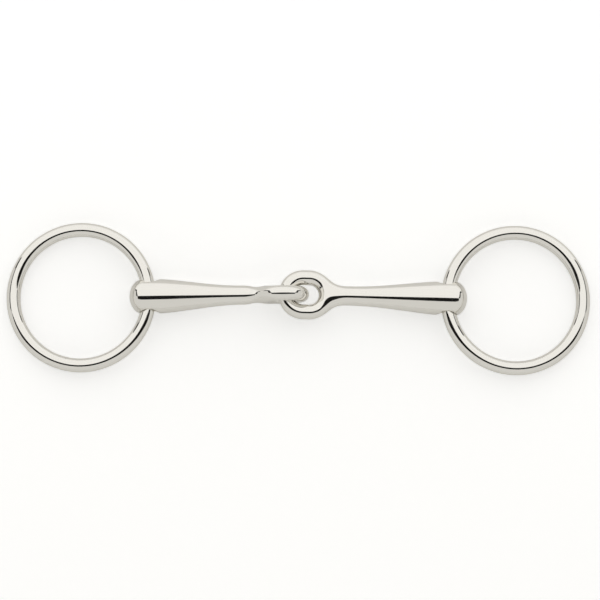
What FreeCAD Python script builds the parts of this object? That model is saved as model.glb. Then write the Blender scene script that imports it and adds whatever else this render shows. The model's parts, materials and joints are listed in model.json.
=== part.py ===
# A loose-ring snaffle bit with a single-jointed mouthpiece, in stainless steel, lying on a flat surface.
#
# Four loose pieces: two arms (cannons), linked through each other's eyes, and two rings that run
# through a cross bore in the thick end of each arm.
#
# Frame: +X along the mouthpiece to the right arm, +Z up. The origin is on the surface that the bit
# lies on, under the middle of its length and of its width.
import FreeCAD, Part
import Sketcher
import math
import os
import re

from FreeCAD import Placement, Rotation, Vector

doc = FreeCAD.newDocument("snaffle_bit")

# ------------------------------------------------------------------ driving dimensions, mm and degrees
DIMENSIONS = [
    # the two arms, each from the middle of its bore to the middle of its eye's tip bar
    ("left_reach", 67.0, "left arm, bore to tip bar"),
    ("right_reach", 71.0, "right arm, bore to tip bar"),
    # the thick end
    ("end_diameter", 15.4, "widest part of an arm, at its bore"),
    ("dome_length", 8.8, "bore axis to the end of the dome"),
    ("dome_depth", 6.0, "dome, from its base to its end"),
    ("dome_corner", 4.2, "rounding of the dome's shoulder"),
    ("left_land", 6.0, "full width past the bore on the left arm"),
    ("right_land", 3.0, "full width past the bore on the right arm"),
    ("taper_share", 0.55, "share of the taper that is straight before it runs out into the neck"),
    ("neck_diameter", 8.5, "narrowest part of an arm"),
    # the eye
    ("bar_diameter", 6.6, "round bar that an eye is made of"),
    ("eye_width", 8.5, "hole across the arm"),
    ("left_straight", 0.8, "straight part of the left eye's hole, along the arm"),
    ("right_straight", 2.6, "straight part of the right eye's hole, along the arm"),
    ("throat_length", 9.5, "neck to the first bar of the eye"),
    ("throat_width", 15.2, "arm across the first bar of the eye"),
    # the rings
    ("ring_outer", 66.2, "ring, outside"),
    ("wire_gauge", 6.2, "ring wire"),
    # fits and play
    ("bore_play", 2.3, "bore wider than the ring wire"),
    ("bore_lip", 1.2, "rounding of a bore's mouth"),
    ("ring_hang", 0.3, "ring pulled out from the middle of its bore"),
    ("joint_play", 0.25, "gap between the two tip bars"),
    # how it lies
    ("left_yaw", 0.5, "left arm, out of line"),
    ("right_yaw", 1.2, "right arm, out of line"),
]

# worked out from the driving dimensions
DERIVED = [
    ("end_radius", "end_diameter / 2"),
    ("neck_radius", "neck_diameter / 2"),
    ("bar_radius", "bar_diameter / 2"),
    ("wire_radius", "wire_gauge / 2"),
    ("bore_diameter", "wire_gauge + bore_play"),
    ("eye_bend", "(eye_width + bar_diameter) / 2"),
    ("ring_bend", "(ring_outer - wire_gauge) / 2"),
    ("ring_distance", "ring_bend + ring_hang"),
    ("tip_spacing", "bar_diameter + joint_play"),
    # the left eye stands on the surface, and its arm rises to it from the thick end
    ("eye_stand", "eye_bend + bar_radius"),
    ("left_rise", "asin((eye_stand - end_radius) / (left_reach - eye_bend - left_straight / 2))"),
    # the joint is drawn taut, so the right tip bar sits in the bend of the left eye, on the left arm's axis
    ("joint_height", "end_radius + (left_reach - tip_spacing) * sin(left_rise)"),
    ("right_rise", "asin((joint_height - end_radius) / right_reach)"),
    # each ring falls from its bore until its far side lies on the surface
    ("ring_rise", "asin((end_radius - wire_radius) / (ring_distance + ring_bend))"),
    # how far each arm and each ring's middle reach over the surface
    ("left_run", "left_reach * cos(left_rise)"),
    ("right_run", "right_reach * cos(right_rise)"),
    ("ring_run", "ring_distance * cos(ring_rise)"),
    ("ring_half", "ring_bend * cos(ring_rise) + wire_radius"),
    # the joint, so that the whole bit is centred on the origin
    ("left_end", "(left_run + ring_run) * cos(left_yaw) + ring_half - tip_spacing"),
    ("right_end", "(right_run + ring_run) * cos(right_yaw) + ring_half"),
    ("joint_x", "(left_end - right_end) / 2"),
    ("left_fall", "(left_run + ring_run) * sin(left_yaw)"),
    ("right_fall", "(right_run + ring_run) * sin(right_yaw)"),
    ("joint_y", "(left_fall + right_fall) / 2"),
    # the bores
    ("left_bore_x", "joint_x + tip_spacing - left_run * cos(left_yaw)"),
    ("left_bore_y", "joint_y - left_run * sin(left_yaw)"),
    ("right_bore_x", "joint_x + right_run * cos(right_yaw)"),
    ("right_bore_y", "joint_y - right_run * sin(right_yaw)"),
    ("ring_height", "end_radius - ring_distance * sin(ring_rise)"),
]
ANGLES = ("left_yaw", "right_yaw")

# the throat's sections: how far from the neck to the eye's first bar, and the share of the way that each
# has gone from the neck's half width to the throat's, and from its half thickness to the bar's
THROAT_SECTIONS = [(0.4, 0.12, 0.25), (0.75, 0.5, 0.7), (1.0, 1.0, 1.0)]
# an edge counts as a bore's mouth if it reaches no further from the bore's middle than this beyond its radius
EDGE_MARGIN = 0.01

sheet = doc.addObject("Spreadsheet::Sheet", "sizes")


def fill_sheet():
    """One row a value: its name, the value under that alias, and what it is."""
    for row, (name, size, note) in enumerate(DIMENSIONS, start=1):
        sheet.set(f"A{row}", name)
        sheet.set(f"B{row}", str(size))
        sheet.setAlias(f"B{row}", name)
        sheet.set(f"C{row}", note)
    for row, (name, formula) in enumerate(DERIVED, start=len(DIMENSIONS) + 1):
        sheet.set(f"A{row}", name)
        sheet.setAlias(f"B{row}", name)
        for angle in ANGLES:
            formula = formula.replace(f"({angle})", f"({angle} * 1 deg)")
        sheet.set(f"B{row}", "=" + formula)
    doc.recompute()


fill_sheet()


NAMES = "|".join([name for name, *_ in DIMENSIONS] + [name for name, _ in DERIVED])


def cell(formula):
    """The formula with each value's name as its cell in the sheet."""
    return re.sub(rf"\b({NAMES})\b", r"sizes.\1", formula)


# ------------------------------------------------------------------ sketch helpers
ORIGIN = (-1, 1)
START, END, CENTRE = 1, 2, 3


def origin_plane(body, role):
    return next(f for f in body.Origin.OriginFeatures if f.Role == role)


def new_sketch(body, name, role, turn_axis=Vector(0, 0, 1), turn="0 deg", offset="0"):
    """A sketch on one of the body's origin planes, moved along its normal and then turned."""
    sketch = body.newObject("Sketcher::SketchObject", name)
    sketch.AttachmentSupport = [(origin_plane(body, role), "")]
    sketch.MapMode = "FlatFace"
    sketch.AttachmentOffset = Placement(Vector(0, 0, 0), Rotation(turn_axis, 1))
    sketch.setExpression("AttachmentOffset.Rotation.Angle", cell(turn))
    sketch.setExpression("AttachmentOffset.Base.z", cell(offset))
    return sketch


def value(formula):
    """What the formula comes to at present."""
    found = sheet.evalExpression(cell(formula))
    return getattr(found, "Value", found)


def dimension(sketch, name, formula, kind, *places):
    """A named constraint that follows the formula. It starts at the formula's present value."""
    index = sketch.addConstraint(Sketcher.Constraint(kind, *places, value(formula)))
    sketch.renameConstraint(index, name)
    sketch.setExpression(f"Constraints.{name}", cell(formula))


def join(sketch, *pairs):
    for first, second in pairs:
        sketch.addConstraint(Sketcher.Constraint("Coincident", *first, *second))


# ------------------------------------------------------------------ one arm
# An arm's own frame: the origin in the middle of its bore, +X towards the joint, the bore along Y.
def eye_stations(reach, straight):
    """Where the eye's parts lie along the arm, as formulas: its two bends, and the neck."""
    tip_bend = f"({reach} - eye_bend)"
    throat_bend = f"({reach} - eye_bend - {straight})"
    throat_bar = f"({reach} - 2 * eye_bend - {straight})"
    neck = f"({reach} - 2 * eye_bend - {straight} - throat_length)"
    return tip_bend, throat_bend, throat_bar, neck


def shank(body, land, neck):
    """The dome, the full-width land over the bore, a straight taper and a run-out into the neck."""
    sketch = new_sketch(body, "shank_profile", "XZ_Plane")
    end, slim = value("end_radius"), value("neck_radius")
    dome_x, tip_x = value("dome_depth - dome_length"), value("0 - dome_length")
    depth, corner = value("dome_depth"), value("dome_corner")
    nose = (depth**2 + (end - corner) ** 2 - corner**2) / (2 * (depth - corner))
    meet = math.atan2(end - corner, dome_x - tip_x - nose)
    land_x, neck_x = value(land), value(neck)
    taper_x = land_x + value("taper_share") * (neck_x - land_x)
    slope = (end - slim) / ((taper_x - land_x) + (neck_x - taper_x) / 2)
    taper_z = end - slope * (taper_x - land_x)
    sweep = 2 * math.atan2(taper_z - slim, neck_x - taper_x)
    bend = (neck_x - taper_x) / math.sin(sweep)
    up = Vector(0, 0, 1)
    low = math.radians(270)
    shoulder = Part.Circle(Vector(dome_x, end - corner, 0), up, corner)
    dome = Part.Circle(Vector(tip_x + nose, 0, 0), up, nose)
    run_out = Part.Circle(Vector(neck_x, slim + bend, 0), up, bend)
    sketch.addGeometry(Part.ArcOfCircle(shoulder, math.radians(90), meet))
    sketch.addGeometry(Part.LineSegment(Vector(dome_x, end, 0), Vector(land_x, end, 0)))
    sketch.addGeometry(Part.LineSegment(Vector(land_x, end, 0), Vector(taper_x, taper_z, 0)))
    sketch.addGeometry(Part.ArcOfCircle(run_out, low - sweep, low))
    sketch.addGeometry(Part.LineSegment(Vector(neck_x, slim, 0), Vector(neck_x, 0, 0)))
    sketch.addGeometry(Part.LineSegment(Vector(neck_x, 0, 0), Vector(tip_x, 0, 0)))
    sketch.addGeometry(Part.ArcOfCircle(dome, meet, math.radians(180)))
    join(sketch, ((1, END), (2, START)), ((3, END), (4, START)))
    join(sketch, ((4, END), (5, START)), ((5, END), (6, END)))
    sketch.addConstraint(Sketcher.Constraint("Tangent", 0, START, 1, START))
    sketch.addConstraint(Sketcher.Constraint("Tangent", 0, END, 6, START))
    sketch.addConstraint(Sketcher.Constraint("Horizontal", 1))
    sketch.addConstraint(Sketcher.Constraint("Tangent", 2, END, 3, START))
    sketch.addConstraint(Sketcher.Constraint("Vertical", 3, CENTRE, 3, END))
    sketch.addConstraint(Sketcher.Constraint("Vertical", 4))
    sketch.addConstraint(Sketcher.Constraint("PointOnObject", 4, END, -1))
    sketch.addConstraint(Sketcher.Constraint("PointOnObject", 6, CENTRE, -1))
    sketch.addConstraint(Sketcher.Constraint("Horizontal", 5))
    dimension(sketch, "shoulder", "dome_corner", "Radius", 0)
    dimension(sketch, "dome", "dome_depth - dome_length", "DistanceX", *ORIGIN, 0, CENTRE)
    dimension(sketch, "tip", "0 - dome_length", "DistanceX", *ORIGIN, 5, END)
    dimension(sketch, "end", "end_radius", "DistanceY", *ORIGIN, 1, START)
    dimension(sketch, "land", land, "DistanceX", *ORIGIN, 1, END)
    dimension(sketch, "neck", neck, "DistanceX", *ORIGIN, 4, START)
    dimension(sketch, "slim", "neck_radius", "DistanceY", *ORIGIN, 4, START)
    dimension(sketch, "taper", f"taper_share * ({neck} - {land})", "DistanceX", 1, END, 2, END)
    turned = body.newObject("PartDesign::Revolution", "shank")
    turned.Profile = sketch
    turned.ReferenceAxis = (sketch, ["H_Axis"])
    turned.Angle = 360
    return turned


def oval(body, name, turn, station, half_width, half_height):
    """An elliptic section across the arm."""
    sketch = new_sketch(body, name, "YZ_Plane", turn=turn, offset=station)
    wide, high = value(half_width), value(half_height)
    centre = Vector(0, 0, 0)
    sketch.addGeometry(Part.Ellipse(Vector(wide, 0, 0), Vector(0, high, 0), centre))
    sketch.exposeInternalGeometry(0)
    join(sketch, ((0, CENTRE), ORIGIN))
    sketch.addConstraint(Sketcher.Constraint("PointOnObject", 1, START, -1))
    dimension(sketch, "wide", f"2 * {half_width}", "Distance", 1)
    dimension(sketch, "high", f"2 * {half_height}", "Distance", 2)
    return sketch


def throat(body, turn, neck, throat_bar):
    """The flare from the round neck to the eye's first bar, lofted through oval sections."""
    start = new_sketch(body, "throat_0", "YZ_Plane", turn=turn, offset=neck)
    start.addGeometry(Part.Circle(Vector(0, 0, 0), Vector(0, 0, 1), value("neck_radius")))
    join(start, ((0, CENTRE), ORIGIN))
    dimension(start, "neck", "neck_radius", "Radius", 0)
    sections = [start]
    for number, (along, flare, thin) in enumerate(THROAT_SECTIONS, start=1):
        station = f"({neck} + {along} * ({throat_bar} - {neck}))"
        wide = f"(neck_radius + {flare} * (throat_width / 2 - neck_radius))"
        high = f"(neck_radius + {thin} * (bar_radius - neck_radius))"
        sections.append(oval(body, f"throat_{number}", turn, station, wide, high))
    loft = body.newObject("PartDesign::AdditiveLoft", "throat")
    loft.Profile = sections[0]
    loft.Sections = sections[1:]
    return loft


def eye(body, turn, tip_bend, throat_bend):
    """The round bar bent into a closed loop: two half circles and two straight sides."""
    path = new_sketch(body, "eye_path", "XY_Plane", turn_axis=Vector(1, 0, 0), turn=turn)
    bend, tip, root = value("eye_bend"), value(tip_bend), value(throat_bend)
    up = Vector(0, 0, 1)
    quarter = math.radians(90)
    path.addGeometry(Part.LineSegment(Vector(root, bend, 0), Vector(tip, bend, 0)))
    path.addGeometry(Part.ArcOfCircle(Part.Circle(Vector(tip, 0, 0), up, bend), -quarter, quarter))
    path.addGeometry(Part.LineSegment(Vector(tip, -bend, 0), Vector(root, -bend, 0)))
    path.addGeometry(
        Part.ArcOfCircle(Part.Circle(Vector(root, 0, 0), up, bend), quarter, 3 * quarter)
    )
    for line_end, arc_end in [
        ((0, END), (1, END)),
        ((2, START), (1, START)),
        ((2, END), (3, END)),
        ((0, START), (3, START)),
    ]:
        path.addConstraint(Sketcher.Constraint("Tangent", *line_end, *arc_end))
    path.addConstraint(Sketcher.Constraint("Horizontal", 0))
    path.addConstraint(Sketcher.Constraint("PointOnObject", 1, CENTRE, -1))
    path.addConstraint(Sketcher.Constraint("PointOnObject", 3, CENTRE, -1))
    dimension(path, "bend", "eye_bend", "Radius", 1)
    dimension(path, "tip", tip_bend, "DistanceX", *ORIGIN, 1, CENTRE)
    dimension(path, "root", throat_bend, "DistanceX", *ORIGIN, 3, CENTRE)
    bar = new_sketch(body, "bar_section", "YZ_Plane", turn=turn, offset=throat_bend)
    bar.addGeometry(Part.Circle(Vector(bend, 0, 0), up, value("bar_radius")))
    bar.addConstraint(Sketcher.Constraint("PointOnObject", 0, CENTRE, -1))
    dimension(bar, "bend", "eye_bend", "DistanceX", *ORIGIN, 0, CENTRE)
    dimension(bar, "size", "bar_radius", "Radius", 0)
    loop = body.newObject("PartDesign::AdditivePipe", "eye")
    loop.Profile = bar
    loop.Spine = path
    return loop


def bore(body):
    """The cross bore that the ring runs through, with both mouths rounded."""
    sketch = new_sketch(body, "bore_circle", "XZ_Plane")
    sketch.addGeometry(Part.Circle(Vector(0, 0, 0), Vector(0, 0, 1), value("bore_diameter / 2")))
    join(sketch, ((0, CENTRE), ORIGIN))
    dimension(sketch, "bore", "bore_diameter / 2", "Radius", 0)
    hole = body.newObject("PartDesign::Pocket", "bore")
    hole.Profile = sketch
    hole.Type = "ThroughAll"
    hole.Midplane = True
    doc.recompute()
    reach = value("bore_diameter / 2") + EDGE_MARGIN
    mouths = [
        f"Edge{number}"
        for number, edge in enumerate(hole.Shape.Edges, start=1)
        if max(abs(edge.BoundBox.XMin), abs(edge.BoundBox.XMax)) < reach
        and abs(edge.BoundBox.Center.y) > value("wire_radius")
    ]
    lips = body.newObject("PartDesign::Fillet", "lips")
    lips.Base = (hole, mouths)
    lips.setExpression("Radius", cell("bore_lip"))
    return lips


# ------------------------------------------------------------------ the four pieces
def place(item, spot, yaw, rise):
    """Binds the placement: where its origin goes, its turn about Z, and how far its +X end rises."""
    turns = f"rotation({yaw} * 1 deg; -{rise}; 0)"
    item.setExpression("Placement", cell(f"placement(vector({spot}); {turns})"))


def build_cannon(side, turn):
    body = doc.addObject("PartDesign::Body", f"{side}_cannon")
    reach, land = f"{side}_reach", f"{side}_land"
    tip_bend, throat_bend, throat_bar, neck = eye_stations(reach, f"{side}_straight")
    shank(body, land, neck)
    throat(body, turn, neck, throat_bar)
    eye(body, turn, tip_bend, throat_bend)
    doc.recompute()
    bore(body)
    return body


def build_ring(label):
    """Wire bent round, with its ends butt welded and ground flush."""
    ring = doc.addObject("Part::Torus", label)
    ring.setExpression("Radius1", cell("ring_bend"))
    ring.setExpression("Radius2", cell("wire_radius"))
    return ring


left_cannon = build_cannon("left", "90 deg")
right_cannon = build_cannon("right", "0 deg")
left_ring = build_ring("left_ring")
right_ring = build_ring("right_ring")
pieces = [left_cannon, right_cannon, left_ring, right_ring]

place(left_cannon, "left_bore_x; left_bore_y; end_radius", "left_yaw", "left_rise")
place(right_cannon, "right_bore_x; right_bore_y; end_radius", "(180 - right_yaw)", "right_rise")
place(
    left_ring,
    "left_bore_x - ring_run * cos(left_yaw * 1 deg);"
    "left_bore_y - ring_run * sin(left_yaw * 1 deg); ring_height",
    "left_yaw",
    "ring_rise",
)
place(
    right_ring,
    "right_bore_x + ring_run * cos(right_yaw * 1 deg);"
    "right_bore_y - ring_run * sin(right_yaw * 1 deg); ring_height",
    "(180 - right_yaw)",
    "ring_rise",
)
doc.recompute()

# ------------------------------------------------------------------ checks, and one file for each piece
for item in doc.Objects:
    faults = [state for state in item.State if state in ("Invalid", "Error")]
    if faults:
        raise RuntimeError(f"{item.Label}: {faults}")

os.makedirs("parts", exist_ok=True)
for piece in pieces:
    shape = piece.Shape
    if shape.isNull() or not shape.isValid() or len(shape.Solids) != 1:
        raise RuntimeError(f"{piece.Label} is not one valid solid")
    shape.exportStep(f"parts/{piece.Label}.step")
    print(piece.Label, round(shape.Volume, 1), shape.BoundBox)
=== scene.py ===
# %% [markdown]
# # A loose-ring snaffle bit in polished stainless steel
# The bit has four pieces: two cannons linked through each other's eyes, and a ring running loose
# through the thick end of each. Everything about it is smooth metal, so its look is its reflections.
# The shapes must be exact enough to reflect a softbox without a ripple, and the studio around
# them draws the lights and darks. This script makes both, around the frame that the CAD model gives.

import math

import bmesh
import bpy
import numpy as np
from mathutils import Matrix, Vector
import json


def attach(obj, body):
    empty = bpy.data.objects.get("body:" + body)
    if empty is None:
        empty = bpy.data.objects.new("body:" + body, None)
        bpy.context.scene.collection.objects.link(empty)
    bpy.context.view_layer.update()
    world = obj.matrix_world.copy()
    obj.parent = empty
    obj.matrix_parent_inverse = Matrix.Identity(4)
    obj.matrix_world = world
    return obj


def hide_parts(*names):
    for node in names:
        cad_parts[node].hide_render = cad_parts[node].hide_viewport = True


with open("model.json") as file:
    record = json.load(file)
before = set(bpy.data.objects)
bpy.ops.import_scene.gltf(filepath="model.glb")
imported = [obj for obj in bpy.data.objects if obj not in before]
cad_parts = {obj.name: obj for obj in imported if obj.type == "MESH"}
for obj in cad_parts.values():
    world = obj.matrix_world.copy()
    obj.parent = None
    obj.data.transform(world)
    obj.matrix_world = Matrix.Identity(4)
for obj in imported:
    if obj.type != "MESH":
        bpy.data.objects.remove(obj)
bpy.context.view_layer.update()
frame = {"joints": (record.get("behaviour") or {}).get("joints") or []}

# %% [markdown]
# ## The sizes
# These are the sizes that the CAD model drives the pieces with, in millimetres. The throat's two
# half sizes are smaller than the CAD model's, because the soft join that follows adds metal there.
# The places of the bores and their lines come from the frame's joints, so the finished pieces lie
# where the CAD pieces lie, and turn about the same lines. Their skins aren't quite the same: the
# mouths of the bores keep more metal than the CAD solids' rounded edges do.

# %% Sizes and joints
MM = 0.001
LEFT_REACH, RIGHT_REACH = 67.0, 71.0
END_RADIUS = 7.7
DOME_LENGTH, DOME_DEPTH = 8.8, 6.0
LEFT_LAND, RIGHT_LAND = 6.0, 3.0
TAPER_SHARE = 0.55
NECK_RADIUS = 4.25
BAR_RADIUS = 3.3
EYE_BEND = 7.55
LEFT_STRAIGHT, RIGHT_STRAIGHT = 0.8, 2.6
THROAT_LENGTH = 9.5
THROAT_HALF, THROAT_THIN = 5.5, 2.7
RING_BEND, WIRE_RADIUS = 30.0, 3.1
RING_HANG = 0.3
BORE_RADIUS = 4.25
JOINT_PLAY = 0.25
TIP_SPACING = 2 * BAR_RADIUS + JOINT_PLAY

joints = {joint["name"]: joint for joint in frame["joints"]}
left_bore = joints["left_ring_swing"]
right_bore = joints["right_ring_swing"]
print("joints:", sorted(joints))


# %% Where each piece lies
def lie(origin, across, rise, towards):
    """A piece's own frame as a 4x4 matrix: Y runs along the bore, and X runs inwards, rising by rise."""
    y_axis = Vector(across).normalized() * towards
    level = y_axis.cross(Vector((0, 0, 1)))
    x_axis = level * math.cos(rise) + Vector((0, 0, 1)) * math.sin(rise)
    z_axis = x_axis.cross(y_axis)
    turn = Matrix((x_axis, y_axis, z_axis)).transposed().to_4x4()
    return Matrix.Translation(Vector(origin)) @ turn


# each cannon rests on its thick end, and rises as far as its eye has to
eye_stand = EYE_BEND + BAR_RADIUS
left_rise = math.asin((eye_stand - END_RADIUS) / (LEFT_REACH - EYE_BEND - LEFT_STRAIGHT / 2))
joint_height = END_RADIUS + (LEFT_REACH - TIP_SPACING) * math.sin(left_rise)
right_rise = math.asin((joint_height - END_RADIUS) / RIGHT_REACH)
# each ring leans from the bore's middle down to the ground at its far side
ring_out = RING_BEND + RING_HANG
ring_rise = math.asin((END_RADIUS - WIRE_RADIUS) / (ring_out + RING_BEND))

left_place = lie(left_bore["pos_m"], left_bore["axis"], left_rise, 1)
right_place = lie(right_bore["pos_m"], right_bore["axis"], right_rise, -1)
left_ring_place = lie(left_bore["pos_m"], left_bore["axis"], ring_rise, 1)
right_ring_place = lie(right_bore["pos_m"], right_bore["axis"], ring_rise, -1)
print("rises, degrees:", [round(math.degrees(a), 2) for a in (left_rise, right_rise, ring_rise)])

# %% [markdown]
# ## The cannons as a field
# A real cannon is cast in one, so its taper flows into its eye with no edge, and a polished edge
# would show as a break in every reflection. Joined meshes leave such an edge. So each cannon is
# described as a field instead: a function of place that is negative inside the metal, zero on the
# skin and positive outside. Fields join with a soft minimum, which rounds the corner between two
# shapes like weld or wax, and a soft maximum takes a shape away and rounds the mouth it leaves.


# %% Soft joins
def soft_min(a, b, blend):
    """The smaller of a and b, with the corner between them rounded over blend: a cubic falloff."""
    near = np.clip(1 - np.abs(a - b) / blend, 0, 1)
    return np.minimum(a, b) - near**3 * blend / 6


def soft_max(a, b, blend):
    """The larger of a and b, with the corner rounded in the same way."""
    return -soft_min(-a, -b, blend)


def ease(t):
    """From 0 to 1 with no slope at either end: 3t^2 - 2t^3."""
    t = np.clip(t, 0, 1)
    return t * t * (3 - 2 * t)


# %% The shank's field
LAND_BLEND = 1.2
FLARE_POWER = 1.5
SHANK_END_BLEND = 0.8
TINY = 1e-6


def shank_radius(x, land, neck):
    """Full width to the land's end, a straight taper, then a parabola that runs out into the neck."""
    run_out = (1 - TAPER_SHARE) * (neck - land)
    slope = (END_RADIUS - NECK_RADIUS) / (neck - land - run_out / 2)
    left_over = neck - x
    straight = slope * (left_over - run_out / 2)
    curve = slope * np.clip(left_over, 0, None) ** 2 / (2 * run_out)
    taper = NECK_RADIUS + np.where(left_over > run_out, straight, curve)
    return soft_min(taper, np.full_like(taper, END_RADIUS), LAND_BLEND)


def oval_distance(across, through, half_wide, half_thick):
    """How far the oval's equation is past 1, over how fast it grows there: nearly the distance."""
    off_axis = np.hypot(across / half_wide, through / half_thick)
    steep = np.hypot(across / half_wide**2, through / half_thick**2) / np.maximum(off_axis, TINY)
    return (off_axis - 1) / np.maximum(steep, TINY)


def shank_field(x, across, through, land, throat_bar):
    """Round as far as the neck, then wider in the eye's plane and thinner through it."""
    neck = throat_bar - THROAT_LENGTH
    round_radius = shank_radius(x, land, neck)
    along = ease((x - neck) / THROAT_LENGTH)
    half_wide = round_radius + (THROAT_HALF - NECK_RADIUS) * along**FLARE_POWER
    half_thick = round_radius + (THROAT_THIN - NECK_RADIUS) * along
    shank = oval_distance(across, through, half_wide, half_thick)
    return soft_max(shank, x - throat_bar, SHANK_END_BLEND)


# %% The dome's and the eye's fields
DOME_BASE = DOME_DEPTH - DOME_LENGTH


def dome_field(x, y, z):
    """Half of a ball flattened along the arm: the oval's equation again, with three half sizes."""
    half_sizes = np.array([[DOME_DEPTH], [END_RADIUS], [END_RADIUS]])
    outward = np.stack([x - DOME_BASE, y, z]) / half_sizes
    off_middle = np.sqrt((outward**2).sum(0))
    steep = np.sqrt(((outward / half_sizes) ** 2).sum(0))
    return (off_middle - 1) * off_middle / np.maximum(steep, TINY)


def eye_field(x, across, through, reach, straight):
    """A round bar along a loop of two half circles and two straight sides."""
    middle = reach - EYE_BEND - straight / 2
    beyond = np.clip(np.abs(x - middle) - straight / 2, 0, None)
    return np.hypot(np.hypot(beyond, across) - EYE_BEND, through) - BAR_RADIUS


# %% The whole cannon's field
THROAT_BLEND = 5.0
LIP_BLEND = 1.5


def cannon_field(points, reach, land, straight, lean):
    """Distance from a cannon's skin in mm, in its own frame: shank, dome and eye, less the bore."""
    x, y, z = points.T
    # the eye's plane is turned by lean from the bore's line
    across = y * math.cos(lean) + z * math.sin(lean)
    through = -y * math.sin(lean) + z * math.cos(lean)
    shank = shank_field(x, across, through, land, reach - 2 * EYE_BEND - straight)
    arm = np.where(x < DOME_BASE, dome_field(x, y, z), shank)
    metal = soft_min(arm, eye_field(x, across, through, reach, straight), THROAT_BLEND)
    bore = BORE_RADIUS - np.hypot(x, z)
    return soft_max(metal, bore, LIP_BLEND)


# %% [markdown]
# ## From a field to a skin
# The field is sampled on a grid of small cells. Each cell that the skin passes through gets one
# vertex, and each grid edge that it crosses gets one face between the four cells around it: the
# method called surface nets. The vertices then slide along the field's slope until they lie on
# the skin, and take their normals from that slope too. That is what makes a mirror of it: the
# normals are those of the curve itself, and not of the flat faces.


# %% Points that slide onto the skin
def slope_of(field, points, step=0.01):
    """The field's gradient by central differences."""
    parts = []
    for axis in range(3):
        shift = np.zeros(3)
        shift[axis] = step
        parts.append((field(points + shift) - field(points - shift)) / (2 * step))
    return np.stack(parts, axis=1)


def settle(field, points, rounds=4):
    """Moves points onto the skin: each round goes by the field's value along its slope."""
    for _ in range(rounds):
        slope = slope_of(field, points)
        size = np.maximum((slope**2).sum(1), 1e-9)
        points = points - slope * (field(points) / size)[:, None]
    return points


def relax(points, quads, rounds):
    """Moves each point half way to the mean of its neighbours along the quads' edges."""
    ends = np.concatenate([quads[:, [a, (a + 1) % 4]] for a in range(4)])
    ends = np.concatenate([ends, ends[:, ::-1]])
    count = np.bincount(ends[:, 0], minlength=len(points))
    for _ in range(rounds):
        mean = np.stack(
            [np.bincount(ends[:, 0], points[ends[:, 1], k], len(points)) for k in range(3)], axis=1
        )
        points = 0.5 * points + 0.5 * mean / count[:, None]
    return points


# %% Surface nets
def crossed_edges(value, inside, axis, low, cell):
    """The grid edges along one axis that the skin crosses, and where the value is zero on each."""
    ahead = np.roll(value, -1, axis)
    crossed = inside != np.roll(inside, -1, axis)
    # the last nodes have no edge ahead of them
    crossed[tuple(slice(-1, None) if k == axis else slice(None) for k in range(3))] = False
    at = np.argwhere(crossed)
    place = low + cell * at
    place[:, axis] += cell * (value[crossed] / (value[crossed] - ahead[crossed]))
    return crossed, at, place


def cells_around(at, axis):
    """The four cells that share each edge, in order round it."""
    others = [k for k in range(3) if k != axis]
    around = []
    for back in ((0, 0), (1, 0), (1, 1), (0, 1)):
        cell_at = at.copy()
        cell_at[:, others] -= back
        around.append(cell_at)
    return around


def surface_nets(field, low, high, cell):
    """One vertex at the mean crossing of each crossed cell, and one quad round each crossed edge."""
    counts = np.ceil((high - low) / cell).astype(int) + 1
    axes = [low[k] + cell * np.arange(counts[k]) for k in range(3)]
    nodes = np.stack(np.meshgrid(*axes, indexing="ij"), axis=-1)
    value = field(nodes.reshape(-1, 3)).reshape(counts)
    inside = value < 0
    cells = tuple(counts - 1)
    total, hits = np.zeros(cells + (3,)), np.zeros(cells)
    quads = []
    for axis in range(3):
        crossed, at, place = crossed_edges(value, inside, axis, low, cell)
        around = cells_around(at, axis)
        for cell_at in around:
            np.add.at(total, tuple(cell_at.T), place)
            np.add.at(hits, tuple(cell_at.T), 1)
        quad = np.stack([np.ravel_multi_index(cell_at.T, cells) for cell_at in around], axis=1)
        # the four cells run the other way round Y, so the quads there turn over too
        leaving = inside[crossed] == (axis != 1)
        quad[~leaving] = quad[~leaving][:, ::-1]
        quads.append(quad)
    used = np.flatnonzero(hits.ravel())
    number = np.full(hits.size, -1)
    number[used] = np.arange(len(used))
    points = total.reshape(-1, 3)[used] / hits.ravel()[used][:, None]
    return points, number[np.concatenate(quads)]


# %% The skin, evened out
EVENING_PASSES = 3


def skin(field, low, high, cell):
    """Surface nets, then passes that even out the spacing and settle the points on the skin again."""
    points, quads = surface_nets(field, np.array(low), np.array(high), cell)
    for _ in range(EVENING_PASSES):
        points = settle(field, relax(points, quads, 2), 2)
    return settle(field, points), quads


# %% A mesh from arrays
def make_object(name, points, quads, normals, place):
    """A smooth object made of the points, carried from the piece's own frame in mm to metres."""
    turn = np.array(place.to_3x3())
    shift = np.array(place.translation)
    mesh = bpy.data.meshes.new(name)
    mesh.from_pydata([], [], [])
    mesh.vertices.add(len(points))
    mesh.vertices.foreach_set("co", ((points * MM) @ turn.T + shift).ravel())
    mesh.loops.add(quads.size)
    mesh.loops.foreach_set("vertex_index", quads.ravel().astype(np.int32))
    mesh.polygons.add(len(quads))
    mesh.polygons.foreach_set("loop_start", np.arange(0, quads.size, 4, dtype=np.int32))
    mesh.update(calc_edges=True)
    mesh.validate()
    mesh.shade_smooth()
    mesh.normals_split_custom_set_from_vertices((normals @ turn.T).tolist())
    made = bpy.data.objects.new(name, mesh)
    bpy.context.scene.collection.objects.link(made)
    check = bmesh.new()
    check.from_mesh(mesh)
    open_edges = sum(1 for edge in check.edges if len(edge.link_faces) != 2)
    volume = check.calc_volume() / (10 * MM) ** 3
    print(f"{name}: {2 * len(quads)} triangles, {open_edges} open edges, {volume:.3f} cm3")
    check.free()
    return made


# %% Make the two cannons
CELL = 0.42
# the grid is a little off the piece's planes of symmetry, so that no node falls just on its skin
GRID_SHIFT = (0.13 * CELL, 0.37 * CELL)


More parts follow.
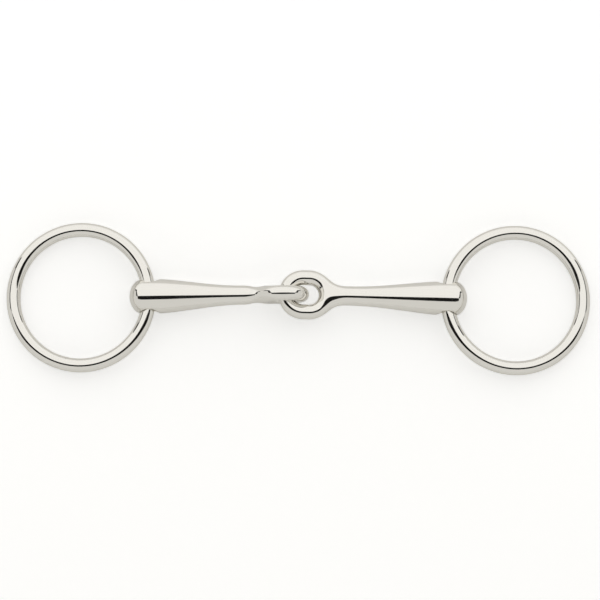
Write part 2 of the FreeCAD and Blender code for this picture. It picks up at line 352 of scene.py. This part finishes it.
def make_cannon(name, reach, land, straight, lean, place, node):
    """One cannon's skin, smooth by the field's own normals, in the place of its CAD solid."""
    def field(points):
        return cannon_field(points, reach, land, straight, lean)

    edge = 2 * CELL
    half = max(END_RADIUS, EYE_BEND + BAR_RADIUS) + edge
    low = (-DOME_LENGTH - edge, -half - GRID_SHIFT[0], -half - GRID_SHIFT[1])
    high = (reach + BAR_RADIUS + edge, half, half)
    points, quads = skin(field, low, high, CELL)
    slope = slope_of(field, points)
    normals = slope / np.linalg.norm(slope, axis=1)[:, None]
    made = make_object(name, points, quads, normals, place)
    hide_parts(node)
    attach(made, node)
    return made


UPRIGHT, FLAT = math.pi / 2, 0.0
left_cannon = make_cannon(
    "left_cannon_polished", LEFT_REACH, LEFT_LAND, LEFT_STRAIGHT, UPRIGHT, left_place, "left_cannon"
)
right_cannon = make_cannon(
    "right_cannon_polished", RIGHT_REACH, RIGHT_LAND, RIGHT_STRAIGHT, FLAT, right_place, "right_cannon"
)

# %% [markdown]
# ## The rings
# A ring is wire bent into a circle, and its ends are butt welded and ground flush. It could be a
# curve with a bevel. A profile carried along a path is as short and gives exact normals: a small
# circle carried round a large one.


# %% Make the two rings
def make_ring(name, place, node, around=288, section=64):
    """A torus: (bend + wire cos v) round the ring's middle, and wire sin v above it."""
    u = np.linspace(0, 2 * np.pi, around, endpoint=False)[:, None]
    v = np.linspace(0, 2 * np.pi, section, endpoint=False)[None, :]
    out = RING_BEND + WIRE_RADIUS * np.cos(v)
    grid = np.stack([out * np.cos(u), out * np.sin(u), WIRE_RADIUS * np.sin(v) + 0 * u], axis=-1)
    facing = np.stack([np.cos(v) * np.cos(u), np.cos(v) * np.sin(u), np.sin(v) + 0 * u], axis=-1)
    points = grid.reshape(-1, 3) - (ring_out, 0, 0)
    index = np.arange(around * section).reshape(around, section)
    ahead = np.roll(index, -1, 0)
    quads = np.stack(
        [index, ahead, np.roll(ahead, -1, 1), np.roll(index, -1, 1)], axis=-1
    ).reshape(-1, 4)
    made = make_object(name, points, quads, facing.reshape(-1, 3), place)
    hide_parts(node)
    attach(made, node)
    return made


left_ring = make_ring("left_ring_polished", left_ring_place, "left_ring")
right_ring = make_ring("right_ring_polished", right_ring_place, "right_ring")

# %% [markdown]
# ## Polished stainless steel
# The castings and the wire are stainless steel. Both are ground, then buffed on soft wheels, so they
# are mirrors: a little warmer and darker than silver. One plain roughness would do for that, but no
# buffing is perfect. The wheel leaves a very shallow waviness that a hand can't feel, and hairlines,
# which show only as a soft edge on the reflections. Both are noise that bends the normal,
# and a third noise varies the roughness a little.


# %% Node helper
def linear(hex_colour):
    """An sRGB hex colour as linear red, green, blue and alpha."""
    parts = [int(hex_colour[k : k + 2], 16) / 255 for k in (1, 3, 5)]
    return [p / 12.92 if p <= 0.04045 else ((p + 0.055) / 1.055) ** 2.4 for p in parts] + [1.0]


def add(material, kind, settings=(), values=(), links=()):
    """A node with its settings, its sockets' values, and its links: (own input, other node's output)."""
    node = material.node_tree.nodes.new(kind)
    for key, setting in dict(settings).items():
        setattr(node, key, setting)
    for key, amount in dict(values).items():
        node.inputs[key].default_value = amount
    for own, output in links:
        material.node_tree.links.new(output, node.inputs[own])
    return node


def per_metre(size_mm):
    """The scale that makes a pattern repeat about every size_mm."""
    return 1 / (size_mm * MM)


# %% The steel
STEEL_COLOUR = "#E9E7E2"
PATCH_MM = 9.0
SOFTNESS_LOW, SOFTNESS_HIGH = 0.045, 0.1
HAIRLINE_DEPTH_MM, HAIRLINE_STRENGTH = 0.002, 0.05


def noise(material, place, size_mm, detail, **values):
    """Noise over the object whose patches are about size_mm across."""
    values = {"Scale": per_metre(size_mm), "Detail": detail, **values}
    return add(material, "ShaderNodeTexNoise", values=values, links=[("Vector", place)]).outputs["Fac"]


def polished_steel(name, wave_mm, wave_depth_mm, hairline_mm):
    """Mirror-polished steel: waviness bends the reflections, and hairlines soften their edges."""
    material = bpy.data.materials.new(name)
    material.use_nodes = True
    shader = material.node_tree.nodes["Principled BSDF"]
    shader.inputs["Base Color"].default_value = linear(STEEL_COLOUR)
    shader.inputs["Metallic"].default_value = 1.0
    place = add(material, "ShaderNodeTexCoord").outputs["Object"]
    # patches that the wheel worked a little more or less: they vary the mirror's softness
    softness = add(
        material,
        "ShaderNodeMapRange",
        values={"From Min": 0.3, "From Max": 0.7, "To Min": SOFTNESS_LOW, "To Max": SOFTNESS_HIGH},
        links=[("Value", noise(material, place, PATCH_MM, 2.0))],
    )
    material.node_tree.links.new(softness.outputs["Result"], shader.inputs["Roughness"])
    wavy = add(
        material,
        "ShaderNodeBump",
        values={"Strength": 1.0, "Distance": wave_depth_mm * MM},
        links=[("Height", noise(material, place, wave_mm, 0.0))],
    )
    # real hairlines lie far closer together: they are drawn this coarse so as to show at all
    hairlines = add(
        material,
        "ShaderNodeBump",
        values={"Strength": HAIRLINE_STRENGTH, "Distance": HAIRLINE_DEPTH_MM * MM},
        links=[
            ("Height", noise(material, place, hairline_mm, 3.0, Roughness=0.6)),
            ("Normal", wavy.outputs["Normal"]),
        ],
    )
    material.node_tree.links.new(hairlines.outputs["Normal"], shader.inputs["Normal"])
    return material


# %% Steel on the four pieces
# buffed by hand over a casting: long soft waves, so that the reflected lines wander a little
cast_steel = polished_steel("stainless steel casting, mirror polished", 12.0, 0.06, 0.5)
# drawn wire, bent and buffed: truer than a casting, with finer and shallower waves
wire_steel = polished_steel("drawn stainless steel wire, mirror polished", 7.0, 0.02, 0.4)
for piece in (left_cannon, right_cannon):
    piece.data.materials.append(cast_steel)
for piece in (left_ring, right_ring):
    piece.data.materials.append(wire_steel)
print("finishes:", cast_steel.name, "|", wire_steel.name)

# %% [markdown]
# ## The studio
# A mirror shows nothing of its own, so what stands round the bit is what its metal looks like. A wide
# soft light hangs over it and comes down to the paper as a lit wall on the far side: it makes the
# bright far half of each piece. The dark slot that the camera looks through makes the black line
# along each cannon, and the dark strips beside the light make that line turn its corners. The plain
# grey of the room makes the duller near half. One lamp would give a bright spot and black metal
# instead.
#
# The ground is two sheets, because it should look evenly white and yet show as a soft grey on the
# underside of the metal, and one sheet can't do both. The upper sheet is the one that is seen. It
# gives off some light of its own, and takes no part in reflections, in bounced light or in casting
# shadows. The pale grey lower sheet isn't seen directly. It is the one that the metal reflects.


# %% Paint and panels
ROUGH_PAINT = 0.9


def paint(name, colour, roughness=ROUGH_PAINT, emit=0.0, light_colour="#FFFFFF"):
    """A matt paint or cloth, which may give off light of its own."""
    material = bpy.data.materials.new(name)
    material.use_nodes = True
    shader = material.node_tree.nodes["Principled BSDF"]
    shader.inputs["Base Color"].default_value = linear(colour)
    shader.inputs["Roughness"].default_value = roughness
    if emit:
        shader.inputs["Emission Color"].default_value = linear(light_colour)
        shader.inputs["Emission Strength"].default_value = emit
    return material


def panel(name, corners, material, seen=True):
    """A flat four-cornered sheet of the studio, which the camera may be kept from seeing."""
    mesh = bpy.data.meshes.new(name)
    mesh.from_pydata(corners, [], [(0, 1, 2, 3)])
    mesh.materials.append(material)
    made = bpy.data.objects.new(name, mesh)
    bpy.context.scene.collection.objects.link(made)
    made.visible_camera = seen
    return made


def sheet(near_span, near, far_span, far):
    """Corners of a sheet from one line along X to another: each has its X span and its (Y, Z)."""
    near_corners = [(x, *near) for x in near_span]
    far_corners = [(x, *far) for x in far_span]
    return near_corners + far_corners[::-1]


# %% The ground
FLOOR_HALF = 4.0
PAPER_LIGHT, TABLE_LIGHT = 0.5, 0.08
PAPER_THICKNESS = 0.0005


def ground(height):
    """A square sheet that lies at a height, all in metres."""
    span = (-FLOOR_HALF, FLOOR_HALF)
    return sheet(span, (-FLOOR_HALF, height), span, (FLOOR_HALF, height))


floor = panel("floor", ground(0), paint("white paper", "#D9D9D8", emit=PAPER_LIGHT))
floor.visible_glossy = False
floor.visible_diffuse = False
floor.visible_shadow = False
table_paint = paint("pale grey table", "#F0EFEC", emit=TABLE_LIGHT)
panel("table top", ground(-PAPER_THICKNESS), table_paint, seen=False)
print("ground:", 2 * FLOOR_HALF, "m across")

# %% The soft light and its dark surround
HEIGHT = 0.9
WALL = 1.5
NEAR_EDGE, SLOT_EDGE = -0.03, -0.44
NEAR_HALF, FAR_HALF = 1.07, 2.3
STRIP = 0.85
SLOT_MARGIN, JUST_ABOVE = 0.12, 0.001
LIGHT = 1.05

glow = paint("soft light", "#000000", 1.0, LIGHT, "#FCFBF8")
dark = paint("black cloth", "#050505", 1.0)
near, far, foot = (NEAR_EDGE, HEIGHT), (WALL, HEIGHT), (WALL, 0)
light_near, light_far = (-NEAR_HALF, NEAR_HALF), (-FAR_HALF, FAR_HALF)
panel("soft light overhead", sheet(light_near, near, light_far, far), glow, seen=False)
panel("lit wall", sheet(light_far, foot, light_far, far), glow, seen=False)
slot_span = (-NEAR_HALF - SLOT_MARGIN, NEAR_HALF + SLOT_MARGIN)
slot = sheet(slot_span, (SLOT_EDGE, HEIGHT + JUST_ABOVE), slot_span, (NEAR_EDGE, HEIGHT + JUST_ABOVE))
panel("dark slot", slot, dark, seen=False)
for side in (-1, 1):
    strip_near = (side * (NEAR_HALF + STRIP), side * NEAR_HALF)
    strip_far = (side * (FAR_HALF + STRIP), side * FAR_HALF)
    panel("dark side", sheet(strip_near, near, strip_far, far), dark, seen=False)
    panel("dark end", sheet(strip_far, foot, strip_far, far), dark, seen=False)
print("light:", 2 * NEAR_HALF, "to", 2 * FAR_HALF, "m wide,", HEIGHT, "m up")

# %% The room
ROOM_COLOUR = "#E1E0DC"
world = bpy.data.worlds.new("studio")
bpy.context.scene.world = world
world.use_nodes = True
background = world.node_tree.nodes["Background"]
background.inputs["Color"].default_value = linear(ROOM_COLOUR)
background.inputs["Strength"].default_value = 1.0
print("room:", ROOM_COLOUR)

# %% [markdown]
# ## The camera
# The camera looks almost straight down, as one does at a thing laid out on a table, and leans only a
# little to the near side, so that the near mouths of the bores show. It stands far off with a
# long lens: the rings at the two ends then keep their shape.

# %% The camera
CAMERA_DISTANCE = 1.6
CAMERA_TILT = math.radians(6.0)
FRAME_WIDTH = 0.2643
AIM = Vector((0.00075, -0.00044, 0.0054))
SENSOR_WIDTH = 36.0
FARTHEST_SEEN = 20.0

camera_data = bpy.data.cameras.new("camera")
camera = bpy.data.objects.new("camera", camera_data)
bpy.context.scene.collection.objects.link(camera)
bpy.context.scene.camera = camera
camera_data.sensor_width = SENSOR_WIDTH
camera_data.lens = SENSOR_WIDTH * CAMERA_DISTANCE / FRAME_WIDTH
camera_data.clip_end = FARTHEST_SEEN
back = Vector((0.0, -math.sin(CAMERA_TILT), math.cos(CAMERA_TILT)))
camera.location = AIM + CAMERA_DISTANCE * back
camera.rotation_euler = (CAMERA_TILT, 0.0, 0.0)
print("lens:", round(camera_data.lens), "mm")

# the plain view transform keeps the paper white and the metal's greys as they are
bpy.context.scene.view_settings.view_transform = "Standard"

# %% [markdown]
# ## The end

# %% Finish
import json
